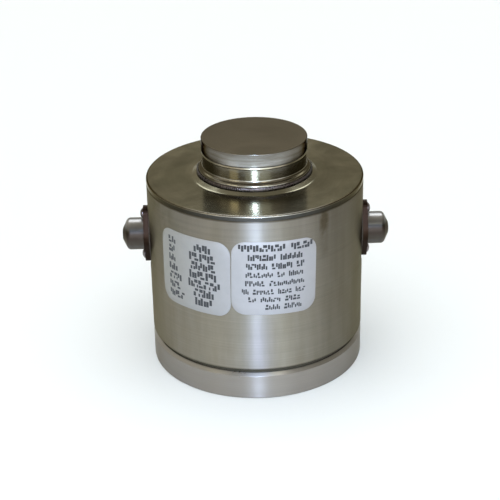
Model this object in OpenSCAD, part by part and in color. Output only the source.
// Compression load cell in a welded steel canister.
// The axis of the cell is Z and the cable ports lie on +X and -X.
// The origin is the centre of the base's bottom face. All sizes are millimetres.

/* [Canister] */
// Outside diameter of the housing tube
body_d = 110; // [92:1:140]
// Height of the lid's top face
lid_z = 100.2; // [84:0.2:121]
// Wall thickness of the tube
wall_t = 4; // [3.3:0.1:5]
// Chamfer on the tube's outer edges
tube_chamfer = 0.3; // [0.1:0.1:0.6]

/* [Base] */
// How far the base's side lies inside the tube's outside
base_inset = 0; // [0:0.1:1]
// Height of the base flange below the weld groove
base_h = 14.2; // [11:0.2:18]
// Chamfer on the flange's top outer edge
base_chamfer = 1.5; // [0.5:0.1:1.8]
// Chamfer on the flange's bottom outer edge and on the register
foot_chamfer = 0.6; // [0.2:0.1:1]
// Height of the weld groove between the flange and the tube
groove_h = 2.5; // [1.5:0.1:4]
// Depth of the weld groove below the tube's outside
groove_depth = 2; // [1.5:0.1:2.5]
// Height of the register that enters the tube
register_h = 6; // [3:0.5:8]

/* [Lid] */
// Thickness of the lid at its outer edge
lid_t = 2.7; // [2.2:0.1:4]
// Rounding of the lid's outer edge
lid_round = 1.4; // [0.5:0.1:2]
// Thickness of the flexible web
web_t = 1.6; // [1:0.1:2]
// Width of the register ring under the lid
lid_ring_w = 3.5; // [2:0.5:6]
// Height of the register ring under the lid
lid_ring_h = 3; // [2:0.5:6]
// Thickness of the lid's hub round the neck
hub_t = 3.2; // [2.4:0.1:5]
// Radial width of the lid's hub
hub_w = 6; // [4.5:0.5:9]
// Height of the raised rim on the hub
rim_h = 1.4; // [0.6:0.1:2]
// Width of the raised rim's flat top
rim_w = 1.3; // [1.3:0.1:3]
// Width of the slope from the raised rim down to the lid
rim_slope = 2.2; // [0.5:0.1:3]

/* [Load button and neck] */
// Height of the load face above the lid
load_rise = 19.8; // [16:0.2:30]
// Diameter of the load button
button_d = 53.4; // [44:0.2:62]
// Height of the load button's straight side
button_h = 6.6; // [4:0.2:8]
// Width of the groove round the button under its straight side
button_groove = 0.7; // [0.4:0.1:0.7]
// Height of the groove and the tapered collar under the button's straight side
button_taper = 1.8; // [1.6:0.1:2.4]
// Chamfer on the load button's top edge
button_chamfer = 0.4; // [0.2:0.1:1]
// How far the button stands out over the neck
button_lip = 0.5; // [0.2:0.1:0.8]
// Width of the ledge from the neck out to the boss's side
ledge_w = 2.3; // [2:0.1:4]
// Fillet where the neck meets the ledge
neck_fillet = 1.4; // [0.4:0.1:1.4]
// Height of the boss above the lid's top face
boss_rise = 5; // [4.6:0.2:7]
// Depth of the boss below the lid's top face
boss_depth = 12; // [8:0.5:14]
// Rounding of the boss's top edge
boss_round = 0.8; // [0.3:0.1:0.8]

/* [Loaded column] */
// Diameter of the gauged column
column_d = 33; // [26:1:40]
// Fillet at both ends of the column
column_fillet = 8; // [3:0.5:8]

/* [Welds] */
// Height of the bead between the lid's rim and the boss
bead_h = 2.2; // [1.5:0.1:3.1]
// Width of the bead on the lid's rim
bead_w = 1; // [0.6:0.1:1.2]
// Radius of the bead in the weld groove
groove_bead_r = 1; // [0.6:0.1:1.2]

/* [Cable ports] */
// Distance of the port axis below the lid's top face
port_drop = 32.6; // [28:0.1:36]
// Depth of the flat seat at the port axis
seat_depth = 1; // [0.9:0.1:1.4]
// Space between the flange's ends and the edge of the flat seat
seat_margin = 1; // [0.4:0.1:3]
// Diameter of the hole through the tube wall
port_hole_d = 11.2; // [9:0.2:13]
// Thickness of the gasket
gasket_t = 0.8; // [0.5:0.1:1.5]
// Thickness of the port flange
flange_t = 2.6; // [2:0.1:4]
// How far the flange's middle stands out round the cap
flange_lip = 0.8; // [0.4:0.1:1]
// How far the flange's ends stand out round the screw heads
end_lip = 1.3; // [0.3:0.05:1.5]
// Diameter of the cable that the port takes
cable_d = 5; // [4:0.1:6]
// Outside diameter of the gland cap
cap_d = 16.6; // [15:0.1:20]
// Length of the gland cap beyond the flange
cap_l = 11; // [10:0.2:14]
// Length of the cap's tapered end
cap_taper = 3.1; // [2.5:0.1:3.5]
// Width of the flat ring round the cable hole in the cap
face_lip = 0.35; // [0.2:0.05:1]
// Rounding between the cap's side and its tapered end
cap_round = 2.6; // [0.6:0.1:3]
// Wall thickness of the cap outside its thread
cap_wall = 1.85; // [1.5:0.05:2.5]
// Length of the threaded stub inside the cap
stub_l = 6.2; // [5:0.2:6.4]
// Wall thickness of the stub round the seal
stub_wall = 1.4; // [1:0.1:1.8]
// Length of the seal
seal_l = 4.2; // [3:0.1:4.8]
// Thickness of the clamp washer
washer_t = 1; // [0.6:0.1:1.2]

/* [Flange screws] */
// Thread diameter of the flange screws
screw_d = 3; // [2.5:0.5:3.5]
// Length of the screws under the head
screw_l = 6; // [5:0.5:7]
// Diameter of the screw heads
screw_head_d = 5.7; // [5:0.1:6.8]
// Height of the screw heads
screw_head_h = 1.7; // [1.5:0.1:2.2]
// Straight height at the edge of the screw heads
screw_head_edge = 0.3; // [0.1:0.1:0.5]
// Width across flats of the hexagon sockets
socket_af = 2; // [1.5:0.5:2.5]
// Depth of the hexagon sockets
socket_depth = 1.1; // [0.6:0.1:1.3]

/* [Strain gauges] */
// Number of gauge stations round the column
stations = 4; // [2:2:4]
// Thickness of a bonded gauge
gauge_t = 0.2; // [0.1:0.05:0.4]
// Short side of a gauge
gauge_w = 5; // [3:0.5:6]
// Long side of a gauge
gauge_l = 8; // [5:0.5:10]
// Space between the pieces of one station
station_gap = 1; // [0.5:0.5:1.5]
// Width of a terminal strip
strip_w = 6.4; // [5.2:0.2:8]
// Height of a terminal strip
strip_h = 3; // [2:0.5:3.5]
// Thickness of a terminal strip
strip_t = 0.4; // [0.2:0.1:0.8]
// Number of wires from one station
station_wires = 4; // [2:2:4]
// Diameter of a gauge wire
wire_d = 0.7; // [0.4:0.1:0.9]
// Distance between neighbouring gauge wires
wire_pitch = 1.2; // [1.1:0.1:1.6]

/* [Circuit board] */
// Space between the board's edge and the tube
board_gap = 7; // [3:0.5:9]
// Space between the column and the board's hole
board_clear = 4.5; // [3:0.5:5]
// Thickness of the board
board_t = 1.6; // [1:0.1:2]
// Height of the spacers under the board
spacer_h = 8; // [6:0.5:9]
// Width across flats of the spacers
spacer_af = 5.5; // [5:0.5:6]
// Distance of the spacers from the board's edge
spacer_margin = 6; // [4:0.5:7]
// Thread diameter of the studs and board screws
board_screw_d = 2.5; // [2:0.5:3]
// Length of the studs under the spacers
stud_l = 5; // [3:0.5:6]
// Diameter of the board screws' heads
board_head_d = 4.5; // [4:0.1:5]
// Height of the board screws' heads
board_head_h = 1.6; // [1:0.1:2]
// Length of the board screws under the head
board_screw_l = 5; // [4:0.5:6]
// Width of the slots in the board screws
slot_w = 0.6; // [0.4:0.1:0.8]
// Distance of the wires' holes from the board's hole
wire_inset = 2.5; // [1:0.1:3]
// Number of trim resistors
resistors = 8; // [4:4:8]
// Length of a trim resistor
resistor_l = 3.2; // [2:0.2:3.6]
// Width of a trim resistor
resistor_w = 1.6; // [1:0.1:2.4]
// Height of a trim resistor
resistor_h = 0.6; // [0.4:0.1:1]
// Distance of the resistors from the board's edge
resistor_margin = 6; // [4:0.5:8]
// Number of cores that a cable terminal takes
cores = 6; // [4:1:6]
// Distance between neighbouring cores in a terminal
core_pitch = 2.8; // [2.5:0.1:2.8]
// Depth of a terminal
terminal_depth = 6; // [5:0.5:6.5]
// Height of a terminal
terminal_h = 7; // [6:0.5:8]
// Distance of the terminals from the board's edge
terminal_margin = 2; // [1:0.5:3]
// Diameter of the core holes in a terminal
core_hole_d = 1.6; // [1:0.1:2]

/* [Labels] */
// Thickness of a label
label_t = 0.15; // [0.1:0.05:0.3]
// Space between the two labels
label_gap = 0.3; // [0.1:0.1:3]
// Corner radius of both labels
label_corner_r = 7; // [2:0.5:9]
// Width of the rating label along the tube
rating_w = 42.6; // [30:0.2:52]
// Height of the rating label
rating_h = 39.2; // [30:0.2:47]
// Distance of the rating label's centre below the lid's top face
rating_drop = 33.1; // [30:0.1:36]
// Direction of the rating label's centre
rating_angle = -81.7; // [-90:0.1:-70]
// Tilt of the rating label on the tube
rating_tilt = -1.2; // [-2:0.1:2]
// Width of the wiring label along the tube
wiring_w = 41.6; // [30:0.2:50]
// Height of the wiring label
wiring_h = 40; // [30:0.2:48]
// Distance of the wiring label's centre below the lid's top face
wiring_drop = 34.2; // [30:0.1:36]
// Tilt of the wiring label on the tube
wiring_tilt = -0.6; // [-2:0.1:2]

/* [Clearances] */
// Radial clearance of the registers, the gland spigots and the seals
fit_gap = 0.1; // [0.05:0.05:0.2]
// Radial clearance of screws in plain holes
screw_gap = 0.2; // [0.1:0.05:0.3]
// Radial clearance left for a thread
thread_gap = 0.05; // [0.02:0.01:0.1]
// Space between the gland cap and the heads of the flange screws
head_gap = 0.15; // [0.1:0.05:1]
// Radial clearance of the cable in the cap
cable_gap = 0.1; // [0.05:0.05:0.3]
// Radial clearance of the cable in the clamp washer
washer_gap = 0.4; // [0.2:0.1:0.6]
// Radial clearance of the cable in the gland body
passage_gap = 0.7; // [0.4:0.1:1]
// Clearance between pieces that are glued or laid together
lay_gap = 0.02; // [0.01:0.01:0.05]

/* [Hidden] */
$fn = 96;

// Extra length that makes a cut run clear of its face, or a piece run into its neighbour's solid
cut = 1;

body_r = body_d / 2;
bore_r = body_r - wall_t;
base_r = body_r - base_inset;
land_r = body_r - groove_depth;
register_r = bore_r - fit_gap;
tube_z = base_h + groove_h;
floor_z = tube_z + register_h;
tube_top_z = lid_z - lid_t;

cell_h = lid_z + load_rise;
column_r = column_d / 2;
button_r = button_d / 2;
button_z = cell_h - button_h;
neck_r = button_r - button_lip;
boss_r = neck_r + ledge_w;
boss_top_z = lid_z + boss_rise;
boss_low_z = lid_z - boss_depth;

hub_hole_r = boss_r + fit_gap;
hub_r = hub_hole_r + hub_w;
rim_z = lid_z + rim_h;

board_r = bore_r - board_gap;
board_hole_r = column_r + board_clear;
board_z = floor_z + spacer_h;
board_top_z = board_z + board_t;
spacer_count = 4;
spacer_r = board_r - spacer_margin;
board_thread_r = board_screw_d / 2 + thread_gap;

gauge_r = column_r + lay_gap;
station_z = (floor_z + boss_low_z) / 2;
axial_z = station_z + (station_gap + gauge_l) / 2;
transverse_z = station_z - (station_gap + gauge_w) / 2;
strip_z = transverse_z - gauge_w / 2 - station_gap - strip_h / 2;
wire_start_r = gauge_r + strip_t + lay_gap;
wire_bend_r = board_hole_r + wire_inset - wire_start_r;

port_z = lid_z - port_drop;
seat_x = body_r - seat_depth;
flange_x = seat_x + gasket_t;
cap_x = flange_x + flange_t;
stub_x = cap_x + stub_l;
seal_x = stub_x - seal_l;
cap_r = cap_d / 2;
cap_depth = stub_l + washer_t + 2 * lay_gap;
stub_r = cap_r - cap_wall - thread_gap;
seal_r = stub_r - stub_wall - fit_gap;
spigot_l = flange_x - bore_r;
head_r = screw_head_d / 2;
screw_offset = cap_r + head_gap + head_r;
flange_mid_r = cap_r + flange_lip;
flange_end_r = head_r + end_lip;
seat_r = screw_offset + flange_end_r + seat_margin;

// Points of an arc round (x, y) from angle a to angle b
function arc(x, y, r, a, b, steps = 8) =
    [for (i = [0 : steps]) let (t = a + (b - a) * i / steps) [x + r * cos(t), y + r * sin(t)]];

// Points of a rectangle with round corners, centred on the origin
function round_rect(w, h, r) =
    concat(
        arc(w / 2 - r, h / 2 - r, r, 0, 90),
        arc(r - w / 2, h / 2 - r, r, 90, 180),
        arc(r - w / 2, r - h / 2, r, 180, 270),
        arc(w / 2 - r, r - h / 2, r, 270, 360)
    );

// Angle that a length takes up on a circle of radius r
function degrees(length, r) = length / r * 180 / PI;

// Places its children at equal steps round the axis
module around(count, first = 0) {
    for (i = [0 : count - 1]) rotate([0, 0, first + i * 360 / count]) children();
}

// Turns a shape drawn along Z so that it points along X from the given distance
module along_x(x) {
    translate([x, 0, 0]) rotate([90, 0, 90]) children();
}

// Puts a port piece, modelled on +X at height zero, on one side of the body
module at_port(side) {
    translate([0, 0, port_z]) rotate([0, 0, side > 0 ? 0 : 180]) children();
}

// Places its children on both flange screws' axes
module at_screws() {
    for (end = [-1, 1]) translate([0, 0, end * screw_offset]) children();
}

module spring_element() {
    section = concat(
        [
            [0, 0], [base_r - foot_chamfer, 0], [base_r, foot_chamfer],
            [base_r, base_h - base_chamfer], [base_r - base_chamfer, base_h],
            [land_r, base_h], [land_r, tube_z], [register_r, tube_z],
            [register_r, floor_z - foot_chamfer], [register_r - foot_chamfer, floor_z]
        ],
        arc(column_r + column_fillet, floor_z + column_fillet, column_fillet, 270, 180),
        arc(column_r + column_fillet, boss_low_z - column_fillet, column_fillet, 180, 90),
        [[boss_r - foot_chamfer, boss_low_z], [boss_r, boss_low_z + foot_chamfer]],
        arc(boss_r - boss_round, boss_top_z - boss_round, boss_round, 0, 90),
        arc(neck_r + neck_fillet, boss_top_z + neck_fillet, neck_fillet, 270, 180),
        [
            [neck_r, button_z - button_taper],
            [button_r, button_z - button_taper + button_lip],
            [button_r, button_z - button_groove],
            [button_r - button_groove / 2, button_z - button_groove / 2],
            [button_r, button_z],
            [button_r, cell_h - button_chamfer], [button_r - button_chamfer, cell_h],
            [0, cell_h]
        ]
    );
    color("#8d8779") difference() {
        rotate_extrude() polygon(section);
        around(spacer_count, 45)
            translate([spacer_r, 0, floor_z - stud_l - cut])
                cylinder(r = board_thread_r, h = stud_l + 2 * cut);
    }
}

module housing_tube() {
    section = [
        [bore_r, tube_z], [body_r - tube_chamfer, tube_z], [body_r, tube_z + tube_chamfer],
        [body_r, tube_top_z - tube_chamfer], [body_r - tube_chamfer, tube_top_z],
        [bore_r, tube_top_z]
    ];
    color("#9a9587") difference() {
        rotate_extrude() polygon(section);
        for (side = [-1, 1]) at_port(side) {
            along_x(seat_x) cylinder(r = seat_r, h = seat_depth + cut);
            along_x(bore_r - cut) cylinder(d = port_hole_d, h = wall_t + cut);
            at_screws() along_x(bore_r - cut)
                cylinder(r = screw_d / 2 + thread_gap, h = wall_t + cut);
        }
    }
}

module top_lid() {
    ring_inner_r = register_r - lid_ring_w;
    section = concat(
        [
            [hub_hole_r, lid_z - hub_t], [hub_r - hub_t + web_t, lid_z - hub_t],
            [hub_r, lid_z - web_t], [ring_inner_r, lid_z - web_t],
            [ring_inner_r, tube_top_z - lid_ring_h], [register_r, tube_top_z - lid_ring_h],
            [register_r, tube_top_z], [body_r, tube_top_z]
        ],
        arc(body_r - lid_round, lid_z - lid_round, lid_round, 0, 90),
        [
            [hub_hole_r + rim_w + rim_slope, lid_z], [hub_hole_r + rim_w, rim_z],
            [hub_hole_r, rim_z]
        ]
    );
    color("#8a8371") rotate_extrude() polygon(section);
}

module neck_weld() {
    inner_r = boss_r + lay_gap;
    low_z = rim_z + lay_gap;
    bulge = bead_w / 4;
    section = [
        [inner_r, low_z], [inner_r + bead_w, low_z],
        [inner_r + bead_w, low_z + bead_h * 0.4],
        [inner_r + bead_w - bulge, low_z + bead_h * 0.75],
        [inner_r + bulge, low_z + bead_h], [inner_r, low_z + bead_h]
    ];
    color("#5d5550") rotate_extrude() polygon(section);
}

module base_weld() {
    inner_r = land_r + lay_gap;
    top_z = tube_z - lay_gap;
    section = concat([[inner_r, top_z]], arc(inner_r, top_z, groove_bead_r, 270, 360));
    color("#4c463e") rotate_extrude() polygon(section);
}

// A thin plate that lies on the column, centred on +X
module column_plate(width, height, thickness, z) {
    spread = degrees(width, gauge_r);
    rotate([0, 0, -spread / 2]) rotate_extrude(angle = spread)
        translate([gauge_r, z - height / 2]) square([thickness, height]);
}

module axial_gauges() {
    color("#c98b3c") around(stations) column_plate(gauge_w, gauge_l, gauge_t, axial_z);
}

module transverse_gauges() {
    color("#c98b3c") around(stations) column_plate(gauge_l, gauge_w, gauge_t, transverse_z);
}

module terminal_strips() {
    color("#b9a26a") around(stations) column_plate(strip_w, strip_h, strip_t, strip_z);
}

// A wire that leaves the strip level, bends down and ends on the board
module gauge_wire() {
    translate([wire_start_r, 0, strip_z - wire_bend_r]) rotate([90, 0, 0])
        rotate_extrude(angle = 90) translate([wire_bend_r, 0]) circle(d = wire_d, $fn = 24);
    translate([wire_start_r + wire_bend_r, 0, board_top_z])
        cylinder(d = wire_d, h = strip_z - wire_bend_r - board_top_z, $fn = 24);
}

module gauge_wires() {
    color("#a8322a") around(stations)
        for (i = [0 : station_wires - 1])
            translate([0, (i - (station_wires - 1) / 2) * wire_pitch, 0]) gauge_wire();
}

module compensation_board() {
    color("#2f6b45") translate([0, 0, board_z]) difference() {
        cylinder(r = board_r, h = board_t);
        translate([0, 0, -cut]) cylinder(r = board_hole_r, h = board_t + 2 * cut);
        around(spacer_count, 45)
            translate([spacer_r, 0, -cut])
                cylinder(r = board_screw_d / 2 + screw_gap, h = board_t + 2 * cut);
    }
}

module board_spacers() {
    thread_l = board_screw_l - board_t + cut;
    color("#b99a4a") around(spacer_count, 45) translate([spacer_r, 0, 0]) difference() {
        union() {
            translate([0, 0, floor_z]) cylinder(d = spacer_af / cos(30), h = spacer_h, $fn = 6);
            translate([0, 0, floor_z - stud_l]) cylinder(d = board_screw_d, h = stud_l + cut);
        }
        translate([0, 0, board_z - thread_l]) cylinder(r = board_thread_r, h = thread_l + cut);
    }
}

module board_screws() {
    color("#c9c9c6") around(spacer_count, 45) translate([spacer_r, 0, board_top_z]) difference() {
        union() {
            cylinder(d = board_head_d, h = board_head_h);
            translate([0, 0, -board_screw_l]) cylinder(d = board_screw_d, h = board_screw_l + cut);
        }
        translate([-board_head_d, -slot_w / 2, board_head_h / 2])
            cube([2 * board_head_d, slot_w, board_head_h]);
    }
}

module trim_resistors() {
    color("#1f2a33") around(resistors, 22.5)
        translate([board_r - resistor_margin - resistor_w, -resistor_l / 2, board_top_z])
            cube([resistor_w, resistor_l, resistor_h]);
}

module cable_terminals() {
    block_w = cores * core_pitch;
    inner_x = board_r - terminal_margin - terminal_depth;
    color("#2d7a4f") around(2) translate([inner_x, 0, board_top_z]) difference() {
        translate([0, -block_w / 2, 0]) cube([terminal_depth, block_w, terminal_h]);
        for (i = [0 : cores - 1])
            translate([0, (i - (cores - 1) / 2) * core_pitch, 0]) {
                translate([0, 0, terminal_h / 3])
                    along_x(terminal_depth / 4) cylinder(d = core_hole_d, h = terminal_depth);
                translate([terminal_depth / 2, 0, terminal_h * 2 / 3])
                    cylinder(d = core_hole_d, h = terminal_h);
            }
    }
}

// Points of the oval flange: a middle circle and two end circles joined by tangents
function flange_points() =
    let (lean = asin((flange_mid_r - flange_end_r) / screw_offset))
    concat(
        arc(0, 0, flange_mid_r, -lean, lean),
        arc(0, screw_offset, flange_end_r, lean, 180 - lean),
        arc(0, 0, flange_mid_r, 180 - lean, 180 + lean),
        arc(0, -screw_offset, flange_end_r, 180 + lean, 360 - lean)
    );

// The plate of the oval flange, from x to x + t, with its screw holes
module flange_plate(x, t) {
    difference() {
        along_x(x) linear_extrude(t) polygon(flange_points());
        at_screws() along_x(x - cut) cylinder(r = screw_d / 2 + screw_gap, h = t + 2 * cut);
    }
}

module gland_gasket(side) {
    color("#17181a") at_port(side) difference() {
        flange_plate(seat_x, gasket_t);
        along_x(seat_x - cut) cylinder(d = port_hole_d, h = gasket_t + 2 * cut);
    }
}

module gland_body(side) {
    passage_l = spigot_l + flange_t + stub_l + 2 * cut;
    color("#7d766c") at_port(side) difference() {
        union() {
            flange_plate(flange_x, flange_t);
            along_x(flange_x - spigot_l) cylinder(r = port_hole_d / 2 - fit_gap, h = spigot_l + cut);
            along_x(cap_x - cut) cylinder(r = stub_r, h = stub_l + cut);
        }
        along_x(bore_r - cut) cylinder(r = cable_d / 2 + passage_gap, h = passage_l);
        along_x(seal_x) cylinder(r = seal_r + fit_gap, h = seal_l + cut);
    }
}

module gland_seal(side) {
    color("#1d1d1f") at_port(side) difference() {
        along_x(seal_x + lay_gap) cylinder(r = seal_r, h = seal_l);
        along_x(seal_x - cut) cylinder(d = cable_d, h = seal_l + 3 * cut);
    }
}

module clamp_washer(side) {
    color("#b5b2a8") at_port(side) difference() {
        along_x(stub_x + lay_gap) cylinder(r = stub_r - fit_gap, h = washer_t);
        along_x(stub_x - cut) cylinder(r = cable_d / 2 + washer_gap, h = washer_t + 3 * cut);
    }
}

module gland_cap(side) {
    hole_r = cable_d / 2 + cable_gap;
    face_r = hole_r + face_lip;
    turn = atan2(cap_r - face_r, cap_taper);
    round_z = cap_l - cap_taper - cap_round * tan(turn / 2);
    section = concat(
        [[0, lay_gap], [cap_r, lay_gap]],
        arc(cap_r - cap_round, round_z, cap_round, 0, turn),
        [[face_r, cap_l], [0, cap_l]]
    );
    color("#a3a19b") at_port(side) along_x(cap_x) difference() {
        rotate_extrude() polygon(section);
        translate([0, 0, -cut]) cylinder(r = stub_r + thread_gap, h = cap_depth + cut);
        translate([0, 0, -cut]) cylinder(r = hole_r, h = cap_l + 2 * cut);
    }
}

// One round-headed screw that points along X, with the seat of its head at x = 0
module flange_screw() {
    dome_h = screw_head_h - screw_head_edge;
    dome_r = (head_r * head_r + dome_h * dome_h) / (2 * dome_h);
    section = concat(
        [[0, 0], [head_r, 0]],
        arc(0, screw_head_h - dome_r, dome_r, 90 - asin(head_r / dome_r), 90)
    );
    along_x(0) difference() {
        union() {
            rotate_extrude() polygon(section);
            translate([0, 0, -screw_l]) cylinder(d = screw_d, h = screw_l + screw_head_edge);
        }
        translate([0, 0, screw_head_h - socket_depth])
            cylinder(d = socket_af / cos(30), h = socket_depth + cut, $fn = 6);
    }
}

module flange_screws(side) {
    color("#8f8b84") at_port(side) at_screws() translate([cap_x + lay_gap, 0, 0]) flange_screw();
}

// A thin label wrapped on the tube
module label(width, height, drop, angle, tilt) {
    inner_r = body_r + lay_gap;
    chord = 2 * body_r * sin(degrees(width, body_r) / 2);
    color("#c9ccc6") intersection() {
        translate([0, 0, lid_z - drop]) rotate([tilt, 0, angle]) along_x(body_r / 2)
            linear_extrude(body_r) polygon(round_rect(chord, height, label_corner_r));
        difference() {
            translate([0, 0, tube_z]) cylinder(r = inner_r + label_t, h = tube_top_z - tube_z);
            translate([0, 0, tube_z - cut]) cylinder(r = inner_r, h = lid_z);
        }
    }
}

module rating_label() {
    label(rating_w, rating_h, rating_drop, rating_angle, rating_tilt);
}

module wiring_label() {
    step = degrees(rating_w / 2 + label_gap + wiring_w / 2, body_r);
    label(wiring_w, wiring_h, wiring_drop, rating_angle - step, wiring_tilt);
}

spring_element();
housing_tube();
top_lid();
neck_weld();
base_weld();
axial_gauges();
transverse_gauges();
terminal_strips();
gauge_wires();
compensation_board();
board_spacers();
board_screws();
trim_resistors();
cable_terminals();
gland_gasket(-1);  // left_gland_gasket
gland_body(-1);  // left_gland_body
gland_seal(-1);  // left_gland_seal
clamp_washer(-1);  // left_clamp_washer
gland_cap(-1);  // left_gland_cap
flange_screws(-1);  // left_flange_screws
gland_gasket(1);  // right_gland_gasket
gland_body(1);  // right_gland_body
gland_seal(1);  // right_gland_seal
clamp_washer(1);  // right_clamp_washer
gland_cap(1);  // right_gland_cap
flange_screws(1);  // right_flange_screws
rating_label();
wiring_label();
